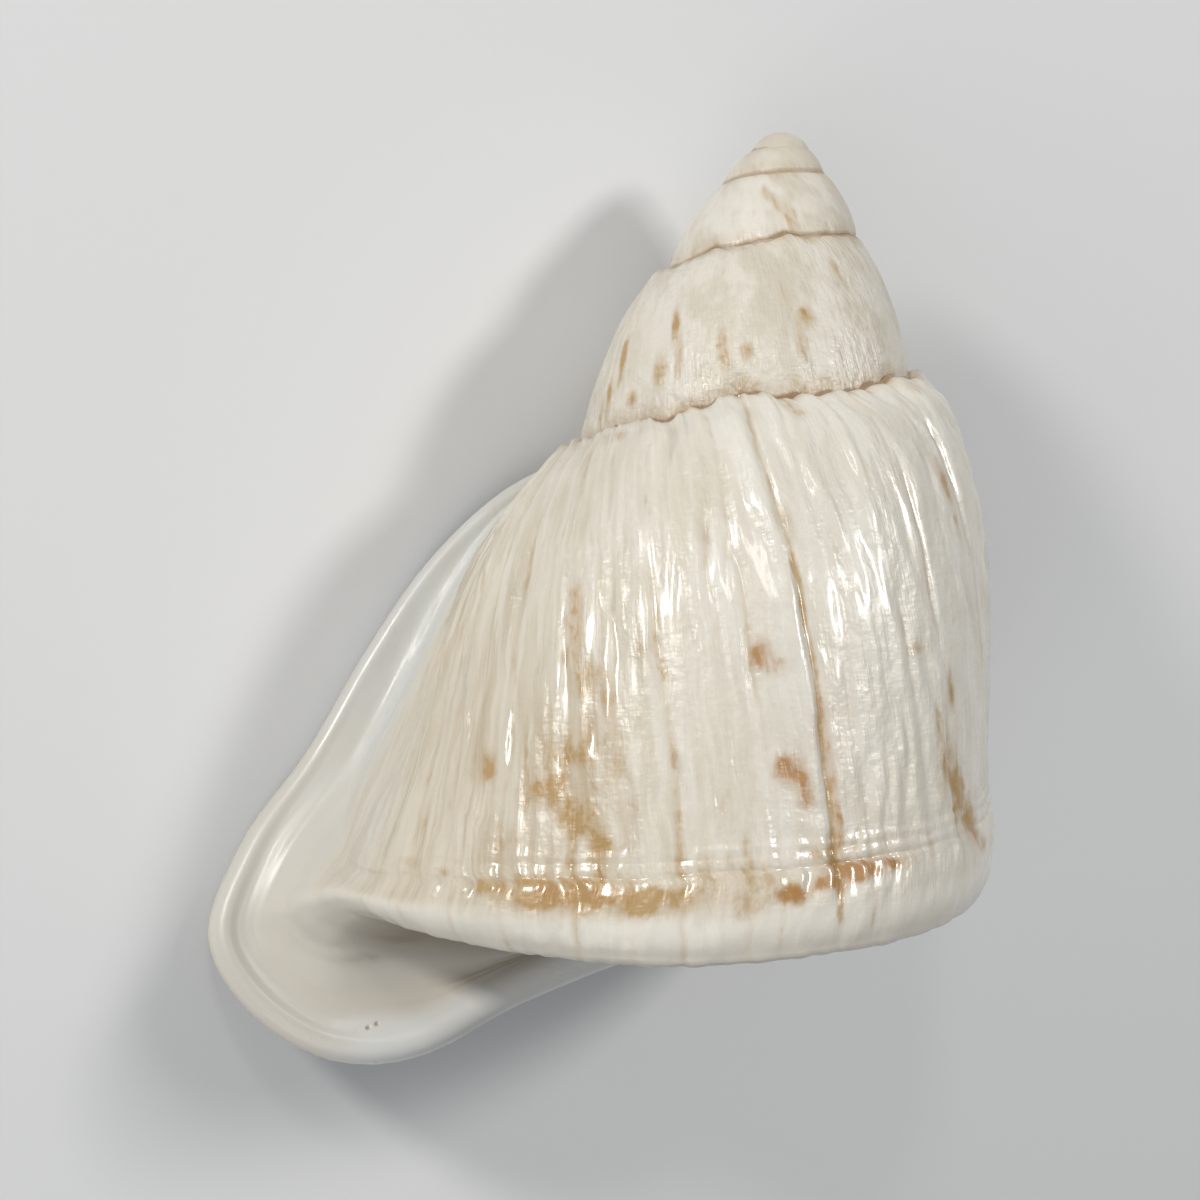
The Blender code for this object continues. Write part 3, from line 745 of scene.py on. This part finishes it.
def layDown(piece):
    # lays the mesh down and fits it just inside the solid's own box, and returns the move made
    turn = lyingDown()
    points = np.empty(len(piece.data.vertices) * 3)
    piece.data.vertices.foreach_get("co", points)
    points = points.reshape(-1, 3) @ np.array(turn.to_3x3()).T
    low, high = points.min(axis=0), points.max(axis=0)
    solidLow, solidHigh = (np.array(corner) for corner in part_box("shell"))
    gap = rest["gap"] * mm
    scale = np.minimum((solidHigh - solidLow - 2 * gap) / (high - low), 1)
    shift = np.array([(solidLow[0] + solidHigh[0]) / 2, (solidLow[1] + solidHigh[1]) / 2, 0])
    shift[:2] -= ((low + high) / 2 * scale)[:2]
    shift[2] = solidLow[2] + gap - low[2] * scale[2]
    print("fitted to the solid's box by", np.round(scale, 4))
    piece.data.vertices.foreach_set("co", (points * scale + shift).ravel())
    piece.data.update()
    return Matrix.Translation(Vector(shift)) @ turn


# Material. Patterns follow the growth map, whose u runs along the whorl and v across it, in millimetres.

patternGap = (7.3, 3.1, 1.7)  # how far one pattern's layer of the noise lies from the next one's


def addNode(tree, kind, inputs=None, **settings):
    node = tree.nodes.new("ShaderNode" + kind)
    for name, value in settings.items():
        setattr(node, name, value)
    for socket, value in (inputs or {}).items():
        if isinstance(value, bpy.types.NodeSocket):
            tree.links.new(value, node.inputs[socket])
        else:
            node.inputs[socket].default_value = value
    return node


def maths(tree, operation, *values):
    return addNode(tree, "Math", dict(enumerate(values)), operation=operation).outputs[0]


def times(tree, first, second):
    return maths(tree, "MULTIPLY", first, second)


def fade(tree, value, low, high, start=0.0, end=1.0):
    inputs = {"Value": value, "From Min": low, "From Max": high, "To Min": start, "To Max": end}
    return addNode(tree, "MapRange", inputs, interpolation_type="SMOOTHSTEP").outputs[0]


def noiseAt(tree, place, detail=2.0, rough=0.5):
    inputs = {"Vector": place, "Scale": 1.0, "Detail": detail, "Roughness": rough}
    return addNode(tree, "TexNoise", inputs, noise_dimensions="3D").outputs[0]


def stretched(tree, place, wide, tall, layer):
    # the growth map with a pattern's cells made wide and tall in millimetres; each layer is its own
    inputs = {0: place, 1: (1 / wide, 1 / tall, 1.0), 2: tuple(layer * gap for gap in patternGap)}
    return addNode(tree, "VectorMath", inputs, operation="MULTIPLY_ADD").outputs[0]


def mixed(tree, factor, first, second):
    # sockets 6, 7 and 2 are the colours'
    return addNode(tree, "Mix", {0: factor, 6: first, 7: second}, data_type="RGBA").outputs[2]


def attribute(tree, name):
    return addNode(tree, "Attribute", attribute_name=name, attribute_type="GEOMETRY").outputs["Fac"]


def newGroup(name, inputs, outputs):
    tree = bpy.data.node_groups.new(name, "ShaderNodeTree")
    for socketName, kind in inputs:
        tree.interface.new_socket(socketName, in_out="INPUT", socket_type=kind)
    for socketName, kind in outputs:
        tree.interface.new_socket(socketName, in_out="OUTPUT", socket_type=kind)
    return tree, tree.nodes.new("NodeGroupInput").outputs, tree.nodes.new("NodeGroupOutput").inputs


def streakGroup():
    # streaks of lime along the growth lines
    tree, given, result = newGroup(
        "growthStreaks",
        (
            ("Growth", "NodeSocketVector"),
            ("Width", "NodeSocketFloat"),
            ("Length", "NodeSocketFloat"),
            ("Layer", "NodeSocketFloat"),
        ),
        (("Mask", "NodeSocketFloat"),),
    )
    wide = maths(tree, "DIVIDE", 1.0, given["Width"])
    tall = maths(tree, "DIVIDE", 1.0, given["Length"])
    scale = addNode(tree, "CombineXYZ", {0: wide, 1: tall, 2: 0.0}).outputs[0]
    away = times(tree, given["Layer"], patternGap[0])
    offset = addNode(tree, "CombineXYZ", {0: away, 1: given["Layer"], 2: given["Layer"]}).outputs[0]
    wobble = noiseAt(tree, stretched(tree, given["Growth"], 2.2, 3.0, 1))
    sideways = times(tree, wobble, 0.9)
    drift = addNode(tree, "CombineXYZ", {0: sideways, 1: 0.0, 2: 0.0}).outputs[0]
    bent = addNode(tree, "VectorMath", {0: given["Growth"], 1: drift}, operation="ADD").outputs[0]
    place = addNode(tree, "VectorMath", {0: bent, 1: scale, 2: offset}, operation="MULTIPLY_ADD").outputs[0]
    tree.links.new(fade(tree, noiseAt(tree, place, 3.0, 0.55), 0.34, 0.66), result["Mask"])
    return tree


def stainGroup():
    # a painted stain broken up into ragged, streaky blots
    tree, given, result = newGroup(
        "raggedStain",
        (("Growth", "NodeSocketVector"), ("Strength", "NodeSocketFloat"), ("Grain", "NodeSocketFloat")),
        (("Mask", "NodeSocketFloat"),),
    )
    blots = noiseAt(tree, stretched(tree, given["Growth"], 1.0, 1.7, 2), 3.0, 0.55)
    specks = noiseAt(tree, stretched(tree, given["Growth"], 0.32, 0.75, 3), 2.0, 0.6)
    ragged = maths(tree, "ADD", times(tree, blots, 0.70), times(tree, specks, 0.30))
    ragged = fade(tree, ragged, 0.34, 0.66)
    left = maths(tree, "SUBTRACT", given["Strength"], times(tree, ragged, given["Grain"]))
    soft = maths(tree, "SUBTRACT", given["Strength"], times(tree, blots, 0.30))
    core = fade(tree, left, 0.0, 0.85, 0.0, 0.78)
    wash = fade(tree, soft, -0.05, 0.75, 0.0, 0.60)
    tree.links.new(maths(tree, "MINIMUM", maths(tree, "ADD", core, wash), 1.0), result["Mask"])
    return tree


def fineReliefGroup():
    # relief too fine for the mesh: striae along the growth lines, threads across them, and pits
    tree, given, result = newGroup(
        "fineRelief",
        (
            ("Growth", "NodeSocketVector"),
            ("Striae", "NodeSocketFloat"),
            ("Threads", "NodeSocketFloat"),
            ("Pits", "NodeSocketFloat"),
        ),
        (("Height", "NodeSocketFloat"),),
    )
    total = 0.0
    # kind, width and height of its cells in millimetres, and the pattern's number
    layers = (
        ("Striae", 0.24, 3.2, 4),
        ("Striae", 0.11, 1.4, 5),
        ("Threads", 1.1, 0.30, 6),
        ("Threads", 0.45, 0.16, 7),
        ("Pits", 0.42, 0.60, 8),
        ("Pits", 0.80, 1.15, 13),
    )
    for socket, wide, tall, layer in layers:
        noise = noiseAt(tree, stretched(tree, given["Growth"], wide, tall, layer), 1.0)
        wave = maths(tree, "SUBTRACT", noise, 0.5)
        total = maths(tree, "ADD", total, times(tree, wave, given[socket]))
    tree.links.new(total, result["Height"])
    return tree


def placeGroup(tree, group, **inputs):
    return addNode(tree, "Group", inputs, node_tree=group).outputs[0]


look = {
    "white": (0.80, 0.77, 0.695, 1),
    "cream": (0.65, 0.575, 0.445, 1),
    # grey of the streaks, and of the painted shade in the relief's valleys
    "grey": (0.46, 0.375, 0.235, 1),
    "beige": (0.62, 0.555, 0.445, 1),
    "cloud": (0.57, 0.51, 0.395, 1),
    # dark of the painted shade in the crease by the lip and in the hollow under the keel
    "paintedShade": (0.27, 0.215, 0.155, 1),
    "lip": (0.635, 0.645, 0.625, 1),
    "dish": (0.635, 0.605, 0.54, 1),
    # the lip's own white on its rolled edge, also lightened as painted light where it faces down
    "rim": (0.75, 0.76, 0.745, 1),
    "tan": (0.425, 0.265, 0.095, 1),
    "rust": (0.40, 0.195, 0.055, 1),
    "stitch": (0.27, 0.155, 0.075, 1),
    "gloss": 0.32,
    "lipGloss": 0.43,
    "spireGloss": 0.44,
    "coat": 0.55,
    "coatRoughness": 0.11,
    "striae": 0.020,  # millimetres
    "threads": 0.014,
    "pits": 0.060,
    # pinholes by the rim: distance out over the lip as a share of its width, and v on the growth map
    "pinholes": ((0.95, 33.9), (0.92, 34.55)),
    "pinholeStretch": (13.0, 1.05),  # millimetres for each unit of those
    "pinholeRadius": 0.15,
    "pinholeDepth": 0.05,
}

# How strongly each colour is laid over the ones before it

strength = {
    "creamStreaks": (0.15, 0.30),  # on the spire, on the last whorl
    "creamLines": (0.06, 0.80),  # far from the lip, near it
    "yellowing": 0.75,
    # painted shadow lines in the crease beside the lip
    "creases": 0.50,
    "clouds": (0.24, 0.78),  # on the last whorl, on the spire
    "tipBeige": (0.06, 0.62),  # from the spire's foot to its tip
    "dusk": 0.25,
    # painted shade in the valleys of the relief
    "valleyShade": 0.55,
    "keelEdge": 0.8,
    "lipMottle": 0.32,
    # the rim's own white, with painted light on its lower, down-facing part
    "rim": 0.8,
    # painted shade in the hollow under the keel
    "recessShade": 0.90,
    "tan": 0.92,
    "rust": 0.90,
    "haltStain": 0.75,
    "sutureWash": 0.55,
    "stitch": 0.8,
    "pinholes": 0.65,
}


def pinholeMask(tree, growth, flare):
    # 1 in the pinholes, 0 away from them
    out, along = look["pinholeStretch"]
    edge, middle = 2 * look["pinholeRadius"], 0.3 * look["pinholeRadius"]
    v = addNode(tree, "SeparateXYZ", {0: growth}).outputs[1]
    place = {0: times(tree, flare, out), 1: times(tree, v, along), 2: 0.0}
    place = addNode(tree, "CombineXYZ", place).outputs[0]
    mask = 0.0
    for share, distance in look["pinholes"]:
        hole = (share * out, distance * along, 0.0)
        away = addNode(tree, "VectorMath", {0: place, 1: hole}, operation="DISTANCE").outputs["Value"]
        mask = maths(tree, "MAXIMUM", mask, fade(tree, away, edge, middle))
    return mask


def makeShellMaterial():
    material = bpy.data.materials.new("shellLime")
    material.use_nodes = True
    tree = material.node_tree
    surface = tree.nodes["Principled BSDF"]
    growth = addNode(tree, "UVMap", uv_map="growth").outputs[0]
    turn, fall = attribute(tree, "turn"), attribute(tree, "fall")
    flare, inside = attribute(tree, "flare"), attribute(tree, "inside")
    height, dirt = attribute(tree, "height"), attribute(tree, "dirt")
    below, above = attribute(tree, "below"), attribute(tree, "above")
    streaks, ragged, fine = streakGroup(), stainGroup(), fineReliefGroup()

    early = times(tree, fade(tree, turn, 4.505, 4.55, 0.0, 0.55), fade(tree, fall, 0.45, 0.75))
    onLip = maths(tree, "MAXIMUM", fade(tree, flare, -0.12, 0.42), early)
    onSpire = fade(tree, turn, 3.75, 3.1)
    towardsLip = fade(tree, turn, 4.30, 4.50)
    wide = placeGroup(tree, streaks, Growth=growth, Width=1.7, Length=9.0, Layer=1.0)
    narrow = placeGroup(tree, streaks, Growth=growth, Width=0.42, Length=7.0, Layer=2.0)
    clouds = fade(tree, noiseAt(tree, stretched(tree, growth, 2.6, 3.4, 9), 3.0, 0.6), 0.40, 0.62)

    # the lime of the whorls, with painted shade in the relief's valleys and along the lip's crease
    streaky = fade(tree, turn, 3.1, 3.8, *strength["creamStreaks"])
    colour = mixed(tree, times(tree, wide, streaky), look["white"], look["cream"])
    creamy = times(tree, narrow, fade(tree, turn, 4.20, 4.46, *strength["creamLines"]))
    creamy = times(tree, creamy, fade(tree, fall, 0.10, 0.50, 0.60, 1.0))
    colour = mixed(tree, creamy, colour, look["cream"])
    yellowed = times(tree, towardsLip, fade(tree, fall, 0.15, 0.55, 0.45, 1.0))
    colour = mixed(tree, times(tree, yellowed, strength["yellowing"]), colour, look["cream"])
    lines = times(tree, narrow, fade(tree, wide, 0.0, 1.0, 0.20, 1.0))
    lines = times(tree, lines, yellowed)
    colour = mixed(tree, lines, colour, look["grey"])
    # painted shadow: dark lines along the crease where the whorl meets the lip
    creaseShadow = times(tree, fade(tree, turn, 4.475, 4.51), fade(tree, fall, 0.44, 0.24))
    creaseShadow = times(tree, creaseShadow, fade(tree, narrow, 0.35, 0.85, 0.0, strength["creases"]))
    colour = mixed(tree, creaseShadow, colour, look["paintedShade"])
    cloudy = times(tree, clouds, fade(tree, turn, 3.75, 3.3, *strength["clouds"]))
    colour = mixed(tree, cloudy, colour, look["cloud"])
    colour = mixed(tree, fade(tree, turn, 3.0, 0.8, *strength["tipBeige"]), colour, look["beige"])
    dusky = times(tree, fade(tree, turn, 2.6, 3.0), fade(tree, turn, 3.75, 3.5))
    colour = mixed(tree, times(tree, dusky, strength["dusk"]), colour, look["beige"])
    # painted shade: grey laid into the relief's valleys, darker the deeper they are
    valleyShade = fade(tree, height, 0.0, -0.24, 0.0, strength["valleyShade"])
    colour = mixed(tree, valleyShade, colour, look["grey"])
    keelEdge = fade(tree, fall, 0.965, 1.02, 0.0, strength["keelEdge"])
    colour = mixed(tree, keelEdge, colour, look["white"])

    # the lip, and painted shade in the hollow under the keel
    # painted shade: the hollow between the keel and the lip is darkened in colour
    recessShade = times(tree, fade(tree, fall, 1.0, 1.2), fade(tree, fall, 1.75, 1.45))
    recessShade = times(tree, recessShade, fade(tree, flare, 0.55, 0.10))
    lipTint = fade(tree, noiseAt(tree, stretched(tree, growth, 2.6, 9.0, 10), 3.0), 0.35, 0.70)
    lower = fade(tree, fall, 0.75, 1.05)
    lipColour = mixed(tree, lower, look["lip"], look["dish"])
    lipColour = mixed(tree, times(tree, lipTint, strength["lipMottle"]), lipColour, look["beige"])
    # the rolled edge's own white, with painted light laid on its lower, down-facing part
    rimWhiteAndLight = fade(tree, fall, 1.06, 1.20, 0.0, strength["rim"])
    rimWhiteAndLight = times(tree, fade(tree, flare, 0.78, 0.96), rimWhiteAndLight)
    lipColour = mixed(tree, rimWhiteAndLight, lipColour, look["rim"])
    colour = mixed(tree, onLip, colour, lipColour)
    colour = mixed(tree, times(tree, recessShade, strength["recessShade"]), colour, look["paintedShade"])

    # stains, and dirt in the growth halts and the suture
    tan = placeGroup(tree, ragged, Growth=growth, Strength=attribute(tree, "tan"), Grain=0.80)
    rust = placeGroup(tree, ragged, Growth=growth, Strength=attribute(tree, "rust"), Grain=0.65)
    colour = mixed(tree, times(tree, tan, strength["tan"]), colour, look["tan"])
    colour = mixed(tree, times(tree, rust, strength["rust"]), colour, look["rust"])
    haltDirt = times(tree, dirt, fade(tree, fall, 0.10, 0.35, 0.45, 0.85))
    haltStain = placeGroup(tree, ragged, Growth=growth, Strength=haltDirt, Grain=0.8)
    colour = mixed(tree, times(tree, haltStain, strength["haltStain"]), colour, look["tan"])

    grown = fade(tree, turn, 1.6, 4.0, 0.50, 1.0)
    stitch = maths(tree, "MAXIMUM", fade(tree, below, 0.26, 0.06), fade(tree, above, 0.22, 0.04))
    near = maths(tree, "MINIMUM", below, above)
    sutureWash = times(tree, fade(tree, near, 1.6, 0.0, 0.0, 0.85), grown)
    wash = placeGroup(tree, ragged, Growth=growth, Strength=sutureWash, Grain=1.15)
    colour = mixed(tree, times(tree, wash, strength["sutureWash"]), colour, look["tan"])
    stitched = times(tree, times(tree, stitch, grown), strength["stitch"])
    colour = mixed(tree, stitched, colour, look["stitch"])
    holes = pinholeMask(tree, growth, flare)
    colour = mixed(tree, times(tree, holes, strength["pinholes"]), colour, look["rust"])
    colour = mixed(tree, inside, colour, look["lip"])
    tree.links.new(colour, surface.inputs["Base Color"])

    # gloss
    dull = times(tree, onSpire, fade(tree, fall, 0.28, 0.50, 1.0, 0.0))
    gloss = maths(tree, "MULTIPLY_ADD", dull, look["spireGloss"] - look["gloss"], look["gloss"])
    onRim = fade(tree, flare, 0.70, 0.92)
    rimGloss = maths(tree, "MULTIPLY_ADD", onRim, look["gloss"] - look["lipGloss"], look["lipGloss"])
    gloss = mixed(tree, onLip, gloss, rimGloss)
    smear = fade(tree, noiseAt(tree, stretched(tree, growth, 1.1, 1.8, 11), 3.0), 0.3, 0.7, -0.05, 0.09)
    tree.links.new(maths(tree, "ADD", gloss, smear), surface.inputs["Roughness"])
    coat = fade(tree, flare, 0.0, 0.25, 1.0, 0.08)
    coat = times(tree, coat, fade(tree, turn, 3.45, 3.8, 0.07, 1.0))
    tree.links.new(times(tree, coat, look["coat"]), surface.inputs["Coat Weight"])
    surface.inputs["Coat Roughness"].default_value = look["coatRoughness"]

    # how strong the fine relief is
    rough = fade(tree, flare, 0.0, 0.25, 1.0, 0.10)
    rough = times(tree, rough, fade(tree, turn, 2.4, 3.2, 0.4, 1.0))
    spireFoot = fade(tree, turn, 3.75, 3.55)
    spireFoot = times(tree, spireFoot, fade(tree, fall, 0.30, 0.55, 0.4, 1.8))
    rough = times(tree, rough, maths(tree, "ADD", spireFoot, 1.0))
    rough = times(tree, rough, fade(tree, inside, 0.0, 0.5, 1.0, 0.1))
    rough = times(tree, rough, fade(tree, fall, 0.96, 1.03, 1.0, 0.35))
    bumps = placeGroup(
        tree,
        fine,
        Growth=growth,
        Striae=times(tree, rough, look["striae"]),
        Threads=times(tree, rough, look["threads"]),
        Pits=times(tree, rough, look["pits"]),
    )
    bumps = maths(tree, "SUBTRACT", bumps, times(tree, holes, look["pinholeDepth"]))
    bump = addNode(tree, "Bump", {"Height": bumps, "Distance": mm, "Strength": 1.0})
    tree.links.new(bump.outputs[0], surface.inputs["Normal"])
    return material


# Floor, camera and lights

stage = {
    "aim": (0, 0, 0.014),  # where the lights point, in metres
    "floorColour": (0.74, 0.75, 0.76, 1),
    "floorRoughness": 0.9,
    "skyColour": (0.90, 0.95, 1.0, 1),
    "skyStrength": 0.20,
    # right, up and towards the camera from the shell, in metres; width and height; power; colour
    "lights": (
        ("keyLight", (-0.19, 0.17, 0.25), (0.05, 0.07), 0.61, (1.0, 0.975, 0.94)),
        ("sideLight", (0.29, 0.11, 0.19), (0.05, 0.07), 0.54, (1.0, 0.975, 0.94)),
        ("topLight", (0.02, 0.20, 0.30), (0.05, 0.05), 0.10, (1.0, 0.98, 0.94)),
        ("frontLight", (-0.08, -0.12, 0.32), (0.25, 0.25), 0.20, (1.0, 0.98, 0.96)),
        ("rimLight", (-0.16, -0.20, 0.20), (0.15, 0.15), 0.10, (1.0, 0.98, 0.96)),
    ),
}


def makeFloor():
    form = bmesh.new()
    bmesh.ops.create_grid(form, x_segments=1, y_segments=1, size=3.0)
    data = bpy.data.meshes.new("floor")
    form.to_mesh(data)
    form.free()
    floor = bpy.data.objects.new("floor", data)
    bpy.context.scene.collection.objects.link(floor)
    material = bpy.data.materials.new("floorPaper")
    material.use_nodes = True
    paper = material.node_tree.nodes["Principled BSDF"]
    paper.inputs["Base Color"].default_value = stage["floorColour"]
    paper.inputs["Roughness"].default_value = stage["floorRoughness"]
    data.materials.append(material)


camera = {"place": (-7.87, -158.0, -31.0), "pitch": -2.03, "roll": 4.19, "lens": 90}


def addCamera(move):
    # held to the shell's own axis, square to its back
    data = bpy.data.cameras.new("camera")
    data.lens = camera["lens"]
    data.sensor_width = 36
    data.clip_start = 0.01
    eye = bpy.data.objects.new("camera", data)
    bpy.context.scene.collection.objects.link(eye)
    pitch, roll = math.radians(camera["pitch"]), math.radians(camera["roll"])
    right = Vector((math.cos(roll), math.sin(roll) * math.sin(pitch), math.sin(roll) * math.cos(pitch)))
    up = Vector((-math.sin(roll), math.cos(roll) * math.sin(pitch), math.cos(roll) * math.cos(pitch)))
    back = right.cross(up)
    held = Matrix((right, up, back)).transposed().to_4x4()
    held.translation = Vector(camera["place"]) * mm
    eye.matrix_world = move @ held
    bpy.context.scene.camera = eye
    return eye


def addLights(eye):
    bpy.context.scene.view_settings.view_transform = "Standard"
    world = bpy.data.worlds.new("world")
    bpy.context.scene.world = world
    world.use_nodes = True
    sky = world.node_tree.nodes["Background"]
    sky.inputs[0].default_value = stage["skyColour"]
    sky.inputs[1].default_value = stage["skyStrength"]
    middle = Vector(stage["aim"])
    turn = eye.matrix_world.to_3x3()
    for name, place, size, power, colour in stage["lights"]:
        data = bpy.data.lights.new(name, "AREA")
        data.shape = "RECTANGLE"
        data.size, data.size_y = size
        data.energy = power
        data.color = colour
        light = bpy.data.objects.new(name, data)
        bpy.context.scene.collection.objects.link(light)
        light.location = middle + turn @ Vector(place)
        light.rotation_mode = "QUATERNION"
        light.rotation_quaternion = (middle - light.location).to_track_quat("-Z", "Y")


print("shell")
shell = makeShell()
move = layDown(shell)
print("triangles", sum(len(face.vertices) - 2 for face in shell.data.polygons))

print("material")
shell.data.materials.append(makeShellMaterial())
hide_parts("shell")
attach(shell, "root")

print("stage")
makeFloor()
addLights(addCamera(move))
